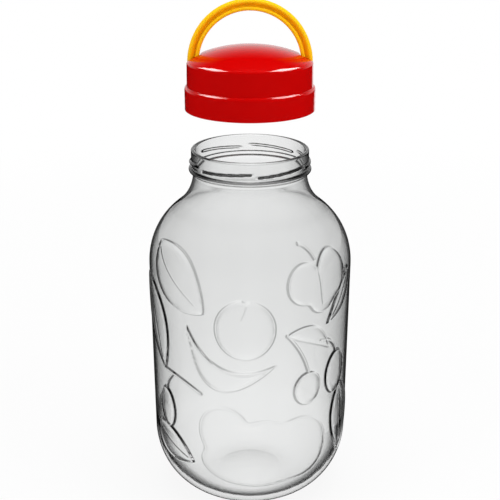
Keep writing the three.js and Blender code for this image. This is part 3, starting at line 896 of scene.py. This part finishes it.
def clearGlass():
    material, tree, shader = surface("Clear glass")
    facing = node(tree, "ShaderNodeLayerWeight", [("Blend", 0.5)]).outputs["Facing"]
    within = node(tree, "ShaderNodeNewGeometry").outputs["Backfacing"]
    place = node(tree, "ShaderNodeTexCoord").outputs
    lean, spot = apart(tree, place["Normal"])["Z"], apart(tree, place["Object"])["Z"]
    level = vectorMaths(tree, "MULTIPLY", place["Object"], (1, 1, 0))[0]
    radius = vectorMaths(tree, "LENGTH", level)["Value"]

    def lies(value, operation, limit):
        return maths(tree, operation, value, glass[limit])

    def ramped(value, name):
        return ranged(tree, value, glass[name + "From"], glass[name + "To"])

    def edgeShadedThrough(name):
        stops = [(angle, [clear * part for part in glass["tint"]]) for angle, clear in glass[name]]
        return rampOf(tree, facing, stops)

    slope = product(tree, ramped(maths(tree, "ABSOLUTE", lean), "lean"), ramped(spot, "heel"))
    mild = maths(tree, "MAXIMUM", slope, ramped(spot, "neck"))
    # Painted shade: the glass darkens towards edge on, more steeply on upright walls than on sloping ones
    clear = toned(tree, mild, edgeShadedThrough("upright"), edgeShadedThrough("sloping"))
    # Painted shade: the thread runs are painted near black where seen from outside, and from inside only on
    # their upper flank, which draws their dark lines
    patches = noise(tree, place["Object"], glass["runPatches"])
    edge = maths(tree, "MULTIPLY_ADD", patches, glass["patchSpan"], glass["patchStart"])
    crest = ranged(tree, maths(tree, "ADD", radius, edge), glass["runFoot"], glass["runCrest"])
    dark = product(tree, between(tree, within, crest, ramped(lean, "flank")),
                   lies(spot, "GREATER_THAN", "runsFrom"), lies(spot, "LESS_THAN", "runsTo"),
                   lies(radius, "GREATER_THAN", "runFoot"))
    # Painted shade: at the heel a dark line is painted where rays leave almost along the skin, beside the
    # total reflection
    skim = product(tree, ramped(facing, "skim"), within, lies(spot, "LESS_THAN", "skimBelow"),
                   lies(radius, "GREATER_THAN", "skimOutside"))
    # Painted shade: from outside, the crest of the neck ring is painted dark as well
    ring = product(tree, crest, lies(spot, "GREATER_THAN", "ringFrom"), lies(spot, "LESS_THAN", "ringTo"),
                   maths(tree, "SUBTRACT", glass["ringShare"], within, clamp=True))
    # Painted shade: the thread runs, the heel line and the neck ring's crest are darkened together
    dark = maths(tree, "MAXIMUM", maths(tree, "MAXIMUM", dark, skim), ring)
    kept = maths(tree, "MULTIPLY_ADD", dark, glass["darkest"], 1.0)
    tone = node(tree, "ShaderNodeVectorMath", [(0, clear), ("Scale", kept)], operation="SCALE")
    stretch = node(tree, "ShaderNodeMapping", [("Vector", place["Object"]), ("Scale", glass["waveStretch"])])
    waves = noise(tree, stretch.outputs[0], glass["waveScale"], glass["waveDetail"])
    bump = node(tree, "ShaderNodeBump", [("Height", waves), ("Strength", glass["bump"]),
                                         ("Distance", glass["bumpDepth"] * millimetre)])
    # Painted light: after many inner reflections the thick heel is made to glow an even pale grey, standing in
    # for light that stays in the glass
    glow = product(tree, lies(rayIs(tree, "Glossy Depth"), "GREATER_THAN", "glowAfter"), within,
                   lies(facing, "GREATER_THAN", "glowFacing"),
                   ranged(tree, spot, glass["glowFrom"], glass["glowTo"], high=glass["glow"]))
    tree.links.new(tone.outputs[0], shader.inputs["Base Color"])
    tree.links.new(bump.outputs["Normal"], shader.inputs["Normal"])
    tree.links.new(glow, shader.inputs["Emission Strength"])
    shader.inputs["Emission Color"].default_value = (1, 1, 1, 1)
    shader.inputs["Transmission Weight"].default_value = 1.0
    shader.inputs["Roughness"].default_value = 0.0
    shader.inputs["IOR"].default_value = glass["ior"]
    return material


redLook = dict(colour=(0.52, 0.0006, 0.0005), shade=0.06, gloss=0.1, cloud=0.05, waves=1.0, grain=0.04,
               bump=0.14, bumpDepth=0.2, ior=1.46)
# grooveShadeColour is painted shade in the handle's groove; fadeFrom and fadeTo bound the painted black that
# hides the handle's reflection
yellowLook = dict(colour=(0.98, 0.55, 0.004), grooveShadeColour=(0.93, 0.38, 0.001), grooveStart=(2.5, 3.3),
                  grooveEnd=(5.0, 7.2), fadeFrom=0.012, fadeTo=0.034, shade=0.04, gloss=0.2, cloud=0.06,
                  waves=0.3, grain=0.0, bump=0.06, bumpDepth=0.12, ior=1.46)
linerLook = dict(colour=(0.82, 0.81, 0.76), shade=0.08, gloss=0.48, cloud=0.1, waves=0.6, grain=0.3,
                 bump=0.4, bumpDepth=0.2, ior=1.45)


# Camera, floor and lights

view = dict(distance=0.780, height=0.506, pitch=math.radians(69.4), lens=72.07, sensor=36.0,
            target=(0, 0, 0.25))


def placeCamera():
    # Fitted to the jar's outline in the photo
    camera = bpy.data.objects.new("camera", bpy.data.cameras.new("camera"))
    camera.data.lens = view["lens"]
    camera.data.sensor_width = view["sensor"]
    camera.location = (0, -view["distance"], view["height"])
    camera.rotation_euler = (view["pitch"], 0, 0)
    studio.collection.objects.link(camera)
    studio.camera = camera


def makeWorld():
    world = bpy.data.worlds.new("studio")
    world.use_nodes = True
    tree = world.node_tree
    tree.nodes.clear()
    look = dict(
        ambient=0.5, gloss=0.85, behindFrom=0.25, behindTo=0.7, wallFrom=0.08, wallTo=0.72,
        screens=8, gapShade=0.52, reflected=0.25,
        # How bright the screens are, by how steeply a ray climbs
        bands=((-0.8, 1.0), (-0.5, 0.98), (-0.43, 0.9), (-0.35, 0.86), (-0.22, 0.94),
               (0.05, 0.97), (0.14, 0.35), (0.3, 0.1)),
    )
    parts = apart(tree, node(tree, "ShaderNodeTexCoord").outputs["Generated"])
    # In gloss: a bright wall far behind, low over the floor
    wall = product(tree, ranged(tree, parts["Y"], look["behindFrom"], look["behindTo"], high=look["gloss"]),
                   ranged(tree, parts["Z"], look["wallFrom"], look["wallTo"], 1.0, 0.0, "SMOOTHSTEP"))
    glossy = between(tree, rayIs(tree, "Is Glossy Ray"), look["ambient"], wall)
    # Through the glass: pale screens all round with dimmer gaps between them, and a band of dimmer floor
    bands = rampOf(tree, ranged(tree, parts["Z"], -1.0, 1.0),
                   [((climb + 1) / 2, (bright,) * 3) for climb, bright in look["bands"]])
    turn = product(tree, maths(tree, "ARCTAN2", parts["X"], parts["Y"]), look["screens"])
    screens = ranged(tree, maths(tree, "COSINE", turn), -1.0, 1.0, look["gapShade"])
    # Light that was turned back inside the glass comes from the studio's dark side
    turned = ranged(tree, rayIs(tree, "Glossy Depth"), 0.0, 1.0, 1.0, look["reflected"])
    through = product(tree, screens, bands, turned)
    bright = between(tree, rayIs(tree, "Is Transmission Ray"), glossy, through)
    seen = between(tree, rayIs(tree, "Is Camera Ray"), bright, 1.0)
    shader = node(tree, "ShaderNodeBackground", [("Color", (1, 1, 1, 1)), ("Strength", seen)])
    end = node(tree, "ShaderNodeOutputWorld")
    tree.links.new(shader.outputs[0], end.inputs["Surface"])
    studio.world = world


def makeFloor():
    look = dict(radius=6000, pale=0.7, inGloss=0.01, shown=0.9, clearFrom=0.3, clearTo=1.2)
    bm = bmesh.new()
    bmesh.ops.create_circle(bm, cap_ends=True, segments=96, radius=look["radius"])
    floor = finished(bm, "floor", smooth=False)
    material, tree, shader = surface("Pale floor")
    tree.nodes.remove(shader)
    tone = between(tree, rayIs(tree, "Is Glossy Ray"), look["pale"], look["inGloss"])
    plain = node(tree, "ShaderNodeBsdfDiffuse", [("Color", tone)]).outputs[0]
    bright = node(tree, "ShaderNodeEmission", [("Color", (1, 1, 1, 1)), ("Strength", 1.0)]).outputs[0]
    away = vectorMaths(tree, "LENGTH", objectPlace(tree))["Value"]
    shown = ranged(tree, away, look["clearFrom"], look["clearTo"], look["shown"])
    share = product(tree, rayIs(tree, "Is Camera Ray"), shown)
    solid = node(tree, "ShaderNodeMixShader", [("Fac", share), (1, plain), (2, bright)]).outputs[0]
    # Seen through the glass, the floor gives way to the studio's screens
    gone = node(tree, "ShaderNodeBsdfTransparent").outputs[0]
    through = rayIs(tree, "Is Transmission Ray")
    whole = node(tree, "ShaderNodeMixShader", [("Fac", through), (1, solid), (2, gone)])
    tree.links.new(whole.outputs[0], tree.nodes["Material Output"].inputs["Surface"])
    floor.data.materials.append(material)


def addLight(name, place, target, size, power):
    light = bpy.data.lights.new(name, "AREA")
    light.shape = "RECTANGLE"
    light.size, light.size_y = size
    light.energy = power
    lamp = bpy.data.objects.new(name, light)
    lamp.location = place
    lamp.rotation_euler = (Vector(target) - Vector(place)).to_track_quat("-Z", "Y").to_euler()
    lamp.visible_camera = False
    lamp.visible_glossy = False
    lamp.visible_transmission = False
    studio.collection.objects.link(lamp)
    return lamp


def addGlint(name, direction, size, radiance, piece):
    # A panel a metre away that only shows in the gloss of one piece
    middle = Vector((0, 0, lidFloor * millimetre))
    place = middle + Vector(direction).normalized()
    lamp = addLight(name, place, middle, size, radiance * math.pi * size[0] * size[1])
    lamp.visible_glossy = True
    lamp.visible_diffuse = False
    receivers = bpy.data.collections.new(name + " receivers")
    receivers.objects.link(piece)
    lamp.light_linking.receiver_collection = receivers


placeCamera()
makeWorld()
makeFloor()
for name, place, width, power in (
    ("left softbox", (-1.6, -0.9, 1.0), 0.8, 9),
    ("right softbox", (1.6, -0.8, 1.1), 0.8, 13),
    ("overhead softbox", (0.15, -0.1, 2.2), 1.6, 32),
):
    addLight(name, place, view["target"], (width, width), power)
print("stage ready")

skin = mouldedSkin()
glassPiece = makeGlass(clearGlass())
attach(glassPiece, "jar")
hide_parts("glass_jar")
print("glass ready")

capPiece = makeCap(mouldedPlastic("Red plastic", skin, redLook))
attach(capPiece, "cap")
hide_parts("cap_shell")
print("cap ready")

handlePiece = makeHandle(mouldedPlastic("Yellow plastic", skin, yellowLook))
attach(handlePiece, "handle")
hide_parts("handle")
print("handle ready")

linerPiece = makeLiner(mouldedPlastic("Liner plastic", skin, linerLook))
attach(linerPiece, "liner")
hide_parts("seal_liner")
print("liner ready")

for name, direction, size, radiance in (
    ("left glint", (-0.78, 0.05, 0.88), (0.8, 0.5), 18),
    ("right glint", (0.66, 0.05, 0.88), (0.84, 0.5), 18),
    ("low back glint", (0.15, 1, -0.16), (0.75, 0.24), 1.2),
):
    addGlint(name, direction, size, radiance, capPiece)
studio.view_settings.view_transform = "Standard"
